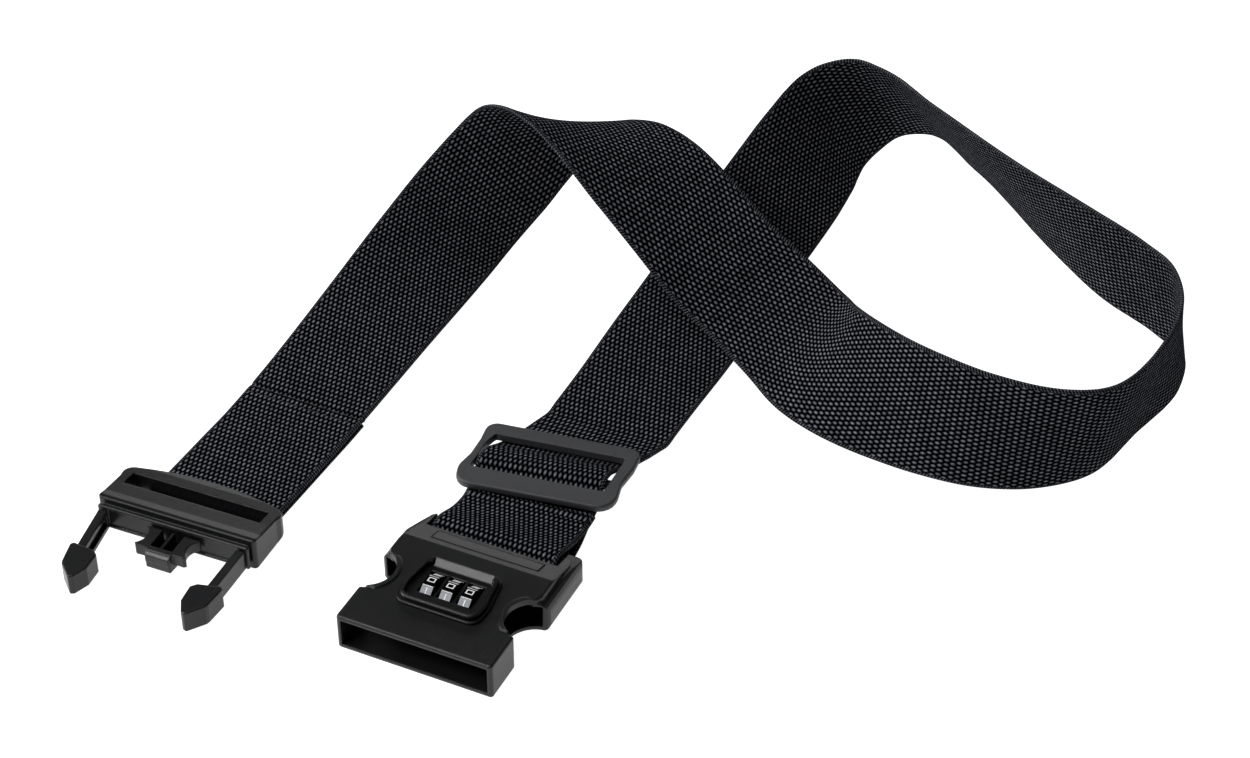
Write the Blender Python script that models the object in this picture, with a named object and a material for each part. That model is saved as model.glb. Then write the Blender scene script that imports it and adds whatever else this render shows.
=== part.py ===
"""Luggage strap: 50 mm webbing, a side-release buckle with a three-dial lock, and a tri-glide adjuster.

Frame: +X across the buckle halves, +Y from the buckle mouths towards the webbing, +Z up.
The origin is on the ground under the middle of the lock half. All constants below are in millimetres.
"""
import math

import bmesh
import bpy
from mathutils import Matrix, Vector

MM = 0.001
GAP = 0.3                    # clearance between neighbouring pieces

# Webbing
WEB_WIDTH = 50.0
WEB_THICK = 1.6

# Lock half (female half)
F_HALF_W = 30.0              # half width at the mouth
F_REAR_HALF_W = 32.8         # half width behind the thumb cut-outs
F_HEIGHT = 14.5
F_FRONT_Y = -30.0
F_REAR_Y = 36.5
F_SLOPE_Y = 17.4             # the top slopes down from here to the webbing slot
F_SLOPE_END_Y = 29.4
F_SLOPE_END_Z = 11.4
NOTCH_X = 32.4               # centre of each thumb cut-out
NOTCH_Y = -3.2
NOTCH_R = 10.3
WALL = 1.8
BAR_Y0, BAR_Y1 = 31.2, 35.6  # webbing bar of the lock half
BAR_Z0, BAR_Z1 = 3.1, 8.6

# Dials
DIAL_PITCH = 7.4
DIAL_X0 = 0.2
RAMP_FOOT = 6.0              # y at which the slope behind the dials leaves the bezel's sunken floor
DIAL_Y = -2.4
DIAL_Z = 9.7
DIAL_R = 7.6
DIAL_W = 5.2

# Plug half (male half): pose of its own frame in the row frame
M_ORIGIN = (-108.0, 5.8, 0.0)
M_YAW = 2.0
M_PITCH = 0.0
M_HALF_W = 32.1
M_FRONT_Y = -15.0
M_HEIGHT = 13.0
ARM_LEAN = {"left": 9.0, "right": 0.0}     # how far each arm leans inwards

# Tri-glide
G_ORIGIN = (-2.6, 80.0, 0.0)
G_YAW = 8.5
G_Z0, G_Z1 = 4.1, 7.1

# Route of the webbing from the plug half to the adjuster: left edge and right edge of each station.
ROUTE = [
    ((-131, 22, 3.0), (-81, 23, 3.0)),
    ((-130, 61, 3.0), (-80, 61, 3.0)),
    ((-128, 139, 13.0), (-79, 139, 4.5)),
    ((-126, 179, 21.0), (-80, 179, 3.0)),
    ((-123, 209, 29.0), (-80, 210, 3.0)),
    ((-117, 223, 38.0), (-77, 226, 7.0)),
    ((-107, 226, 49.0), (-73, 239, 15.0)),
    ((-94, 221, 56.0), (-67, 250, 26.0)),
    ((-79, 213, 58.0), (-57, 254, 38.0)),
    ((-65, 206, 55.0), (-43, 250, 46.0)),
    ((-38, 194, 41.0), (-15, 237, 51.0)),
    ((-19, 187, 27.5), (6, 229, 45.0)),
    ((1, 180, 15.0), (26, 220, 36.0)),
    ((21, 173, 7.0), (46, 213, 29.0)),
    ((42, 162, 3.0), (66, 200, 26.5)),
    ((56, 153, 2.0), (74, 187, 33.0)),
    ((71, 145, 2.0), (81, 176, 41.0)),
    ((102, 139, 2.0), (105, 157, 49.0)),
    ((118, 138, 2.0), (120, 151, 51.0)),
    ((142, 141, 2.0), (143, 146, 52.0)),
    ((163, 151, 2.0), (167, 148, 52.0)),
    ((175, 163, 2.0), (181, 156, 51.5)),
    ((185, 193, 4.0), (192, 185, 53.0)),
    ((193, 223, 7.5), (190, 216, 57.0)),
    ((190, 238, 9.0), (182, 229, 58.0)),
    ((177, 249, 8.5), (169, 239, 57.5)),
    ((150, 264, 8.0), (142, 254, 56.5)),
    ((124, 284, 8.5), (114, 269, 55.0)),
    ((75, 324, 11.5), (60, 301, 53.5)),
    ((48, 341, 11.0), (33, 318, 52.5)),
    ((35, 339, 7.0), (18, 323, 50.5)),
    ((29, 327, 3.0), (4, 320, 45.5)),
    ((31, 295, 2.0), (-9, 293, 33.5)),
    ((32, 279, 2.0), (-12, 278, 28.0)),
    ((32, 255, 2.0), (-15, 255, 21.0)),
    ((32, 229, 2.0), (-17, 229, 15.5)),
    ((31.5, 199, 2.0), (-18, 200, 11.5)),
    ((31, 168, 2.0), (-18.5, 168, 8.5)),
    ((30.5, 138, 3.0), (-19.5, 137, 4.5)),
    ((29.5, 114, 2.2), (-20.5, 112, 2.2)),
]
# The adjuster's webbing in the tri-glide's own frame: (y, z) of its middle, over the centre bar.
HUMP = [(-19.0, 1.15), (-15.0, 1.2), (-10.2, 1.6), (-7.3, 3.4), (-5.7, 5.4), (-4.0, 7.0), (-1.8, 7.4),
        (1.0, 7.2), (3.8, 6.3), (7.0, 4.6), (9.8, 3.1), (13.0, 2.3), (17.0, 2.2), (22.0, 2.2), (30.9, 2.2)]
# Where the middle of that webbing lies across the tri-glide, and how far its weft is turned: (y, x, degrees).
DRIFT = [(-19.0, -3.0, 0.0), (-9.0, -2.8, 0.0), (0.0, -2.2, 0.0), (8.5, -1.0, -0.4), (12.0, 0.8, -1.2), (16.0, 3.4, -2.4),
         (22.0, 7.0, -4.0), (30.9, 11.6, -6.2)]

# Splits of the route into nodes, by station number.
SPLITS = [("webbing_plug_leg", 1.0, 3.0), ("webbing_rise", 3.0, 5.6), ("webbing_fold", 5.6, 9.3),
          ("webbing_slope", 9.3, 14.4), ("webbing_near_side", 14.4, 19.4), ("webbing_end_bend", 19.4, 24.6),
          ("webbing_far_side", 24.6, 28.7), ("webbing_far_bend", 28.7, 32.4), ("webbing_return", 32.4, 39.0)]


# ---------------------------------------------------------------- helpers
def clear_scene():
    for obj in list(bpy.data.objects):
        bpy.data.objects.remove(obj, do_unlink=True)
    for block in (bpy.data.meshes, bpy.data.materials):
        for item in list(block):
            block.remove(item)


def material(name, colour, roughness, metallic=0.0):
    mat = bpy.data.materials.new(name)
    mat.use_nodes = True
    shader = mat.node_tree.nodes["Principled BSDF"]
    shader.inputs["Base Color"].default_value = (*colour, 1.0)
    shader.inputs["Roughness"].default_value = roughness
    shader.inputs["Metallic"].default_value = metallic
    mat.diffuse_color = (*colour, 1.0)
    return mat


def new_object(name, bm, mat=None):
    bmesh.ops.recalc_face_normals(bm, faces=bm.faces)
    mesh = bpy.data.meshes.new(name)
    bm.to_mesh(mesh)
    bm.free()
    mesh.transform(Matrix.Scale(MM, 4))
    obj = bpy.data.objects.new(name, mesh)
    bpy.context.scene.collection.objects.link(obj)
    if mat is not None:
        obj.data.materials.append(mat)
    return obj


def prism(name, outline, z0, z1, axis="Z"):
    """Closed prism of a plane outline. axis Z: (x, y) raised along z; axis X: (y, z) swept along x."""
    bm = bmesh.new()
    if axis == "Z":
        low = [bm.verts.new((x, y, z0)) for x, y in outline]
        high = [bm.verts.new((x, y, z1)) for x, y in outline]
    else:
        low = [bm.verts.new((z0, y, z)) for y, z in outline]
        high = [bm.verts.new((z1, y, z)) for y, z in outline]
    bm.faces.new(low)
    bm.faces.new(high)
    count = len(outline)
    for i in range(count):
        j = (i + 1) % count
        bm.faces.new((low[i], low[j], high[j], high[i]))
    return new_object(name, bm)


def block(name, low, high):
    (x0, y0, z0), (x1, y1, z1) = low, high
    return prism(name, [(x0, y0), (x1, y0), (x1, y1), (x0, y1)], z0, z1)


def loft(name, loops):
    """Closed solid through loops of equal length, capped at both ends."""
    bm = bmesh.new()
    rings = [[bm.verts.new(p) for p in loop] for loop in loops]
    count = len(rings[0])
    for a, b in zip(rings, rings[1:]):
        for i in range(count):
            j = (i + 1) % count
            bm.faces.new((a[i], a[j], b[j], b[i]))
    bm.faces.new(rings[0])
    bm.faces.new(rings[-1])
    return new_object(name, bm)


def arc(cx, cy, r, a0, a1, steps):
    """Points on a circle from angle a0 to a1, in degrees."""
    pts = []
    for i in range(steps + 1):
        a = math.radians(a0 + (a1 - a0) * i / steps)
        pts.append((cx + r * math.cos(a), cy + r * math.sin(a)))
    return pts


def rounded(points, radii, steps=4):
    """A polygon with each corner replaced by an arc of its own radius."""
    out = []
    count = len(points)
    for i in range(count):
        p = Vector(points[i])
        a = (Vector(points[i - 1]) - p).normalized()
        b = (Vector(points[(i + 1) % count]) - p).normalized()
        r = radii[i] if isinstance(radii, (list, tuple)) else radii
        half = a.angle(b) / 2.0
        if r <= 0.01 or half > math.radians(89.0):
            out.append((p.x, p.y))
            continue
        d = r / math.tan(half)
        centre = p + (a + b).normalized() * (r / math.sin(half))
        start = p + a * d - centre
        end = p + b * d - centre
        turn = math.atan2(start.x * end.y - start.y * end.x, start.dot(end))
        for k in range(steps + 1):
            t = turn * k / steps
            v = Vector((start.x * math.cos(t) - start.y * math.sin(t), start.x * math.sin(t) + start.y * math.cos(t)))
            out.append((centre.x + v.x, centre.y + v.y))
    return out


def bake(obj):
    """Replaces the object's mesh by the result of its modifiers."""
    graph = bpy.context.evaluated_depsgraph_get()
    mesh = bpy.data.meshes.new_from_object(obj.evaluated_get(graph))
    old = obj.data
    obj.modifiers.clear()
    obj.data = mesh
    mesh.name = obj.name
    bpy.data.meshes.remove(old)


def combine(obj, others, operation):
    """Boolean of obj with each of the others, which are removed afterwards."""
    for other in others:
        mod = obj.modifiers.new("bool", "BOOLEAN")
        mod.operation = operation
        mod.solver = "EXACT"
        mod.object = other
        bake(obj)
        bpy.data.objects.remove(other, do_unlink=True)
    return obj


def cut(obj, *others):
    return combine(obj, others, "DIFFERENCE")


def join(obj, *others):
    return combine(obj, others, "UNION")


def common(obj, *others):
    return combine(obj, others, "INTERSECT")


def bevel(obj, width, segments=2, angle=35.0):
    mod = obj.modifiers.new("bevel", "BEVEL")
    mod.width = width * MM
    mod.segments = segments
    mod.limit_method = "ANGLE"
    mod.angle_limit = math.radians(angle)
    mod.use_clamp_overlap = True
    bake(obj)
    return obj


def tidy(obj):
    bm = bmesh.new()
    bm.from_mesh(obj.data)
    bmesh.ops.remove_doubles(bm, verts=bm.verts, dist=0.00001)
    bmesh.ops.dissolve_degenerate(bm, dist=0.000005, edges=bm.edges)
    bmesh.ops.delete(bm, geom=[e for e in bm.edges if e.is_wire], context="EDGES")
    bmesh.ops.delete(bm, geom=[v for v in bm.verts if not v.link_edges], context="VERTS")
    bmesh.ops.recalc_face_normals(bm, faces=bm.faces)
    bm.to_mesh(obj.data)
    bm.free()
    return obj


def finish(obj, name, mat, matrix=None, smooth=35.0):
    tidy(obj)
    obj.name = name
    obj.data.name = name
    obj.data.materials.clear()
    obj.data.materials.append(mat)
    if matrix is not None:
        obj.data.transform(matrix)
    obj.data.shade_smooth()
    obj.data.set_sharp_from_angle(angle=math.radians(smooth))
    return obj


def set_origin(obj, point):
    """Moves the object's origin to a world point in metres, with the shape left where it is."""
    obj.data.transform(Matrix.Translation(-Vector(point)))
    obj.location = point
    return obj


def place(origin, yaw=0.0, pitch=0.0, pivot_y=0.0):
    """Matrix in metres from a part's own frame: nose-down pitch about a line at pivot_y, then yaw, then origin."""
    tilt = Matrix.Rotation(math.radians(pitch), 4, "X")
    pivot = Matrix.Translation((0.0, pivot_y * MM, 0.0))
    turn = Matrix.Rotation(math.radians(yaw), 4, "Z")
    shift = Matrix.Translation(Vector(origin) * MM)
    return shift @ turn @ pivot @ tilt @ pivot.inverted()


# ---------------------------------------------------------------- lock half
def notched_outline(front, rear, half_w, rear_half_w, corner, rear_corner, left_rear_w):
    """Plan outline with a round thumb cut-out on each side; the left side narrows to left_rear_w at the rear."""
    right = []
    right += arc(half_w - corner, front + corner, corner, -90, 0, 3)
    reach = math.sqrt(NOTCH_R ** 2 - (NOTCH_X - half_w) ** 2)
    a_in = math.degrees(math.atan2(-reach, half_w - NOTCH_X))
    rear_reach_x = min(rear_half_w, NOTCH_X) - 1.2
    reach2 = math.sqrt(NOTCH_R ** 2 - (rear_reach_x - NOTCH_X) ** 2)
    a_out = math.degrees(math.atan2(reach2, rear_reach_x - NOTCH_X))
    # from the front shoulder round the inner side of the circle to the rear shoulder
    right += arc(NOTCH_X, NOTCH_Y, NOTCH_R, a_in, a_out - 360.0, 18)
    right.append((rear_half_w - 0.6, NOTCH_Y + NOTCH_R + 0.6))
    right.append((rear_half_w, NOTCH_Y + NOTCH_R + 1.8))
    left = [(-x, y) for x, y in reversed(right)]
    left = [(-rear_half_w, 15.0)] + left
    corner_left = arc(left_rear_w - rear_corner, rear - rear_corner, rear_corner, 0, 90, 4)
    left = [(-x, y) for x, y in reversed(corner_left)] + left
    right += arc(rear_half_w - rear_corner, rear - rear_corner, rear_corner, 0, 90, 4)
    return right + left


def build_lock_half(plastic, dark, chrome, steel):
    nodes = []
    # body: lower, wider rear with rounded side walls
    body = prism("body", notched_outline(F_FRONT_Y, F_REAR_Y, F_HALF_W, F_REAR_HALF_W, 1.2, 3.2, 27.6), 0.0, 12.6)
    bevel(body, 0.8, 2)
    section = rounded([(-F_REAR_HALF_W, 0.0), (F_REAR_HALF_W, 0.0), (F_REAR_HALF_W, 13.4), (-F_REAR_HALF_W, 13.4)],
                      [2.5, 2.5, 6.0, 6.0], 6)
    bulge = loft("bulge", [[(x, y, z) for x, z in section] for y in (-40.0, 50.0)])
    common(body, bulge)
    # top plate: flat, sloping down towards the webbing slot
    plate = prism("plate", notched_outline(F_FRONT_Y, 34.0, F_HALF_W, 29.9, 1.2, 4.0, 27.2), 5.0, F_HEIGHT)
    bevel(plate, 0.7, 2)
    rise = F_HEIGHT + 6.0
    slope = prism("slope", [(F_SLOPE_Y, F_HEIGHT), (F_SLOPE_END_Y, F_SLOPE_END_Z), (40.0, 8.9), (40.0, rise),
                            (F_SLOPE_Y, rise)], -40.0, 40.0, "X")
    cut(plate, slope)
    body_slope = prism("body_slope", [(14.0, 12.7), (20.0, 12.2), (30.0, 11.0), (40.0, 9.4), (40.0, rise),
                                      (14.0, rise)], -40.0, 40.0, "X")
    cut(body, body_slope)
    shell = join(body, plate)
    # collars: raised round lips of the thumb cut-outs
    for side in (-1, 1):
        outer = arc(NOTCH_X * side, NOTCH_Y, NOTCH_R + 1.9, 0, 360, 36)[:-1]
        collar = prism("collar", outer, 9.0, F_HEIGHT + 0.5)
        keep = block("keep", (min(16.0 * side, 29.2 * side), NOTCH_Y - 9.2, 0.0),
                     (max(16.0 * side, 29.2 * side), NOTCH_Y + 9.2, 20.0))
        common(collar, keep)
        bevel(collar, 0.45, 2)
        join(shell, collar)
        bore = prism("bore", arc(NOTCH_X * side, NOTCH_Y, NOTCH_R, 0, 360, 40)[:-1], -1.0, 20.0)
        cut(shell, bore)
    # mouth, inner hall with the two side windows, and the pockets for the latch heads
    mouth = block("mouth", (-28.2, F_FRONT_Y - 1.0, WALL), (28.2, -12.0, 12.9))
    hall = block("hall", (-40.0, -12.6, 2.1), (40.0, 5.9, 12.3))
    pocket_l = block("pocket_l", (-30.6, 5.0, 2.1), (-17.0, 12.6, 11.2))
    pocket_r = block("pocket_r", (17.0, 5.0, 2.1), (30.6, 12.6, 11.2))
    chamber = block("chamber", (-15.0, -13.0, -1.0), (15.0, 10.0, 12.6))
    top_window = block("top_window", (-12.4, -11.6, 10.0), (12.8, 6.6, 20.0))
    cover_seat = block("cover_seat", (-20.0, -16.0, -1.0), (20.0, 13.0, 1.5))
    reset_slot = block("reset_slot", (-25.9, -2.5, -1.0), (-20.3, 2.5, 3.0))
    cut(shell, mouth, hall, pocket_l, pocket_r, chamber, top_window, cover_seat, reset_slot)
    # webbing slot and the undercut that leaves the bar
    slot = block("slot", (-25.9, 27.6, -1.0), (26.1, BAR_Y0, 20.0))
    behind = block("behind", (-25.9, BAR_Y1, -1.0), (26.1, 40.0, 20.0))
    over = block("over", (-25.9, 27.6, BAR_Z1), (26.1, 40.0, 20.0))
    under = block("under", (-25.9, 24.0, -1.0), (26.1, 40.0, BAR_Z0))
    cut(shell, slot, behind, over, under)
    # seat of the service panel in the slope
    seat = prism("seat", [(20.2, 12.9), (25.8, 11.4), (25.8, 20.0), (20.2, 20.0)], -19.9, 22.4, "X")
    cut(shell, seat)
    # mouth rim: thin lip round the opening
    finish(shell, "lock_shell", plastic)
    nodes.append(shell)

    panel = prism("panel", [(20.5, 13.15), (25.5, 11.85), (25.5, 12.55), (20.5, 13.85)], -19.6, 22.1, "X")
    finish(panel, "lock_service_panel", plastic)
    nodes.append(panel)

    cover = block("cover", (-19.7, -15.7, 0.0), (19.7, 12.7, 1.2))
    bevel(cover, 0.3, 1)
    finish(cover, "lock_base_cover", dark)
    nodes.append(cover)

    # bezel: raised frame with bowed sides, a stepped edge, a sunken floor and one window per dial
    def ring(inset, z, rear=None):
        front = -15.0 + inset
        if rear is None:
            rear = 9.6 - inset * 0.5
        pts = [(0.0, front), (16.0 - inset, front), (16.8 - inset, -6.0), (14.4 - inset * 0.7, rear),
               (-14.4 + inset * 0.7, rear), (-16.8 + inset, -6.0), (-16.0 + inset, front)]
        corner = max(4.4 - inset * 0.6, 1.0)
        rear_corner = max(2.8 - inset * 0.4, 0.8)
        radii = [0.0, corner, 8.0, rear_corner, rear_corner, 8.0, corner]
        return [(x + DIAL_X0, y, z) for x, y in rounded(pts, radii, 5)]

    loops = [ring(0.0, 14.8), ring(0.0, 15.2), ring(0.3, 15.4), ring(1.9, 15.5), ring(1.9, 15.9), ring(1.2, 16.0),
             ring(1.2, 16.8), ring(1.5, 17.15), ring(1.9, 17.25), ring(2.2, 17.15)]
    bezel = loft("bezel", loops)
    # sunken floor: a smaller outline taken out as far as the foot of a long slope, then the slope up to the rear rim
    tray = loft("tray", [ring(3.3, 15.3, RAMP_FOOT), ring(2.6, 15.9, RAMP_FOOT), ring(2.3, 17.3, RAMP_FOOT),
                         ring(2.3, 20.0, RAMP_FOOT)])
    cut(bezel, tray)
    ramp = prism("ramp", [(-9.0, 15.3), (RAMP_FOOT, 15.3), (8.4, 17.15), (8.4, 20.0), (-9.0, 20.0)],
                 -11.6 + DIAL_X0, 11.6 + DIAL_X0, "X")
    cut(bezel, ramp)
    for i in (-1, 0, 1):
        x = DIAL_X0 + i * DIAL_PITCH
        half = DIAL_W / 2 + 0.45
        cut(bezel, block("window", (x - half, -8.0, 10.0), (x + half, 3.4, 20.0)))
    finish(bezel, "lock_bezel", plastic)
    nodes.append(bezel)

    # dials: ten flats with a groove between them, on a common axle
    for i in (-1, 0, 1):
        x = DIAL_X0 + i * DIAL_PITCH
        loops = []
        profile = [(-DIAL_W / 2, 0.86), (-DIAL_W / 2 + 0.5, 1.0), (DIAL_W / 2 - 0.5, 1.0), (DIAL_W / 2, 0.86)]
        for dx, scale in profile:
            loop = []
            for k in range(10):
                mid = math.radians(90.0 + k * 36.0)
                for off, r in ((-15.5, 1.0), (15.5, 1.0), (18.0, 0.955)):
                    a = mid + math.radians(off)
                    rr = DIAL_R * r * scale if scale < 1.0 else DIAL_R * r
                    loop.append((x + dx, DIAL_Y + rr * math.cos(a), DIAL_Z + rr * math.sin(a)))
            loops.append(loop)
        dial = loft("dial", loops)
        bore = prism("bore", arc(DIAL_Y, DIAL_Z, 3.0, 0, 360, 24)[:-1], x - 5.0, x + 5.0, "X")
        cut(dial, bore)
        finish(dial, "dial_%d" % (i + 2), chrome, None, 20.0)
        set_origin(dial, (x * MM, DIAL_Y * MM, DIAL_Z * MM))
        nodes.append(dial)
        # cam sleeve inside the dial, with the flat that lets the lock bolt drop
        sleeve_outline = arc(DIAL_Y, DIAL_Z, 2.7, 125, 415, 20)
        sleeve = prism("sleeve", sleeve_outline, x - 3.5, x + 3.5, "X")
        cut(sleeve, prism("bore", arc(DIAL_Y, DIAL_Z, 1.35, 0, 360, 20)[:-1], x - 5.0, x + 5.0, "X"))
        finish(sleeve, "dial_sleeve_%d" % (i + 2), steel)
        set_origin(sleeve, (x * MM, DIAL_Y * MM, DIAL_Z * MM))
        nodes.append(sleeve)
    axle = prism("axle", arc(DIAL_Y, DIAL_Z, 1.05, 0, 360, 20)[:-1], -14.6, 14.6, "X")
    finish(axle, "dial_axle", steel)
    nodes.append(axle)

    # lock bolt: plate in front of the dials that catches the plug's centre hooks
    bolt = prism("bolt", rounded([(-12.4, -12.6), (12.4, -12.6), (12.4, -11.2), (-12.4, -11.2)], 0.3, 2), 3.0, 11.4)
    cut(bolt, block("throat", (-5.6, -14.0, 5.4), (5.6, -10.0, 12.0)))
    finish(bolt, "lock_bolt", steel)
    nodes.append(bolt)
    # detent: leaf spring with one finger behind each dial
    detent = block("detent", (-12.6, 8.6, 3.4), (12.6, 8.9, 6.6))
    for i in (-1, 0, 1):
        x = DIAL_X0 + i * DIAL_PITCH
        finger = prism("finger", [(8.9, 6.2), (8.9, 6.6), (7.9, 9.6), (5.9, 10.1), (5.9, 9.8), (7.6, 9.3), (8.6, 6.4)],
                       x - 2.2, x + 2.2, "X")
        join(detent, finger)
    finish(detent, "dial_detent_spring", steel)
    nodes.append(detent)
    # bolt return spring: a coil beside the dials
    nodes.append(coil("bolt_spring", steel, (13.3, -10.9, 6.0), (13.3, -3.4, 6.0), 0.9, 0.22, 5))
    # reset slider in the base, flush with the cover's left side
    reset = block("reset", (-25.6, -2.2, 0.3), (-20.6, 2.2, 1.5))
    bevel(reset, 0.3, 1)
    finish(reset, "lock_reset_slider", dark)
    nodes.append(reset)
    return nodes


def coil(name, mat, start, end, radius, wire, turns):
    """Round wire coil between two points along Y."""
    bm = bmesh.new()
    steps = turns * 10
    rings = []
    for i in range(steps + 1):
        t = i / steps
        a = 2 * math.pi * turns * t
        y = start[1] + (end[1] - start[1]) * t
        centre = Vector((start[0] + radius * math.cos(a), y, start[2] + radius * math.sin(a)))
        radial = Vector((math.cos(a), 0.0, math.sin(a)))
        ring = []
        for k in range(6):
            b = 2 * math.pi * k / 6
            ring.append(bm.verts.new(centre + radial * (wire * math.cos(b)) + Vector((0, wire * math.sin(b), 0))))
        rings.append(ring)
    for r0, r1 in zip(rings, rings[1:]):
        for k in range(6):
            j = (k + 1) % 6
            bm.faces.new((r0[k], r0[j], r1[j], r1[k]))
    bm.faces.new(rings[0])
    bm.faces.new(rings[-1])
    return finish(new_object(name, bm), name, mat)


# ---------------------------------------------------------------- plug half
def build_plug_half(plastic, dark):
    to_world = place(M_ORIGIN, M_YAW, M_PITCH, M_FRONT_Y)
    nodes = []
    rear_r = 100.0
    rear_top = 11.4
    plan = []
    plan += arc(M_HALF_W - 1.4, M_FRONT_Y + 1.4, 1.4, -90, 0, 3)
    plan += [(M_HALF_W, 0.5)]
    edge_y = rear_top - rear_r + math.sqrt(rear_r ** 2 - 28.4 ** 2)
    plan += arc(28.4, edge_y - 4.2, 4.2, 0, 74, 4)
    start = math.degrees(math.asin(26.0 / rear_r))
    plan += arc(0.0, rear_top - rear_r, rear_r, 90 - start, 90 + start, 16)
    plan += [(-x, y) for x, y in reversed(arc(28.4, edge_y - 4.2, 4.2, 0, 74, 4))]
    plan += [(-M_HALF_W, 0.5)]
    plan += [(-x, y) for x, y in reversed(arc(M_HALF_W - 1.4, M_FRONT_Y + 1.4, 1.4, -90, 0, 3))]
    body = prism("body", plan, -1.0, 20.0)
    side = [(-20.0, 0.0), (1.0, 0.0), (5.0, 1.6), (9.0, 3.6), (14.0, 4.3), (14.0, 9.0), (8.0, 10.2), (-3.0, 11.4),
            (-10.0, 12.3), (-13.2, M_HEIGHT), (-20.0, M_HEIGHT)]
    common(body, prism("side", side, -50.0, 50.0, "X"))
    bevel(body, 1.1, 3, 30.0)
    cut(body, block("channel", (-28.4, 0.0, -2.0), (28.0, 20.0, 4.25)))
    # plug: neck and flange that enter the mouth of the lock half
    neck = block("neck", (-29.4, -16.3, 2.7), (29.4, -12.0, 10.5))
    flange = block("flange", (-30.6, -17.8, 1.7), (30.6, -16.3, 11.4))
    bevel(flange, 0.35, 1)
    join(body, neck, flange)
    cut(body, block("recess", (-26.6, -19.0, 2.9), (26.6, -17.2, 10.3)))
    # slot with the inner bar that the webbing wraps
    cut(body, block("slot", (-28.2, -3.5, -2.0), (27.8, 3.3, 20.0)))
    bar = prism("bar", rounded([(-1.3, 2.3), (1.3, 2.3), (1.3, 4.7), (-1.3, 4.7)], 0.9, 3), -28.6, 28.6, "X")
    join(body, bar)
    finish(body, "plug_body", plastic, to_world)
    nodes.append(body)

    # centre tongue with two hooks, which the lock bolt catches
    tx = 1.1
    web = arc(-13.6, -23.4, 5.4, 50, -42, 8)
    outline = [(-10.8, -18.4), (-10.0, -19.2)] + web
    outline += [(-10.4, -27.9), (-9.6, -28.7), (-7.2, -28.6), (-4.7, -28.8), (-4.7, -31.0), (4.7, -31.0), (4.7, -28.8),
                (7.2, -28.6), (9.6, -28.7), (10.4, -27.9)]
    outline += [(-x, y) for x, y in reversed(web)]
    outline += [(10.0, -19.2), (10.8, -18.4)]
    tongue = prism("tongue", [(x + tx, y) for x, y in outline], 4.8, 9.2)
    keel = prism("keel", rounded([(-5.6 + tx, -18.4), (5.6 + tx, -18.4), (5.0 + tx, -30.6), (-5.0 + tx, -30.6)], 0.3, 1),
                 2.0, 9.2)
    join(tongue, keel)
    for x0, x1 in ((-4.4, -0.6), (0.6, 4.4)):
        cut(tongue, block("pocket", (x0 + tx, -27.2, 4.6), (x1 + tx, -17.0, 12.0)))
    cut(tongue, prism("nose", [(-33.0, 6.4), (-29.9, 8.6), (-29.2, 9.3), (-29.2, 12.0), (-33.0, 12.0)], -9.0, 11.0, "X"))
    finish(tongue, "plug_tongue", plastic, to_world)
    nodes.append(tongue)

    # latch arms: slim springs with arrow heads; each bends at its root
    root_x = 28.05
    head = [(21.0, -41.4), (22.9, -39.3), (27.2, -38.3), (31.2, -37.2), (32.3, -38.3), (31.6, -47.1), (31.2, -48.5),
            (26.4, -54.7), (24.8, -54.2), (21.7, -48.7)]
    for name, side in (("left", -1), ("right", 1)):
        stem = prism("stem", [(root_x - 1.6, -38.9), (root_x + 1.6, -37.6), (root_x + 1.6, -18.3), (root_x - 1.6, -18.3)],
                     2.4, 10.2)
        cut(stem, block("channel", (root_x - 2.0, -37.0, 4.2), (root_x - 0.4, -19.4, 8.4)))
        head_obj = prism("head", head, 2.1, 10.6)
        bevel(head_obj, 0.45, 2, 25.0)
        arm = join(stem, head_obj)
        lean = Matrix.Translation((root_x * MM, -18.3 * MM, 0)) @ Matrix.Rotation(
            math.radians(-ARM_LEAN[name]), 4, "Z") @ Matrix.Translation((-root_x * MM, 18.3 * MM, 0))
        mirror = Matrix.Scale(-1.0, 4, Vector((1, 0, 0))) if side < 0 else Matrix.Identity(4)
        finish(arm, "plug_arm_%s" % name, plastic, to_world @ mirror @ lean)
        if side < 0:
            arm.data.flip_normals()
        pivot = to_world @ Vector((side * root_x * MM, -18.3 * MM, 6.3 * MM))
        set_origin(arm, pivot)
        nodes.append(arm)
    return nodes


# ---------------------------------------------------------------- tri-glide
def build_tri_glide(plastic):
    to_world = place(G_ORIGIN, G_YAW)
    near, far = -18.0, 18.6
    right = [(27.6, near + 1.2), (28.6, -9.0), (27.9, -2.0), (29.8, 7.5), (30.2, far)]
    left = [(-30.2, far), (-30.0, 8.0), (-30.8, -1.0), (-33.0, -8.4), (-31.4, near + 0.4)]
    radii = [7.0, 8.0, 8.0, 5.0, 4.6, 4.6, 5.0, 8.0, 8.0, 6.0]
    frame = prism("frame", rounded(right + left, radii, 5), G_Z0, G_Z1)
    bevel(frame, 0.8, 2, 40.0)
    opening = [(-28.5, -8.1), (22.9, -8.1), (25.4, 12.0), (-25.2, 12.0), (-27.0, 7.0)]
    window = prism("window", rounded(opening, [1.2, 1.0, 0.8, 1.0, 4.0], 3), 0.0, 20.0)
    cut(frame, window)
    bar = prism("bar", rounded([(-4.2, G_Z0 - 0.3), (0.6, G_Z0 - 0.3), (0.6, 5.9), (-4.2, 5.9)], 1.0, 3), -29.2, 25.6, "X")
    join(frame, bar)
    return finish(frame, "tri_glide", plastic, to_world)


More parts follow.
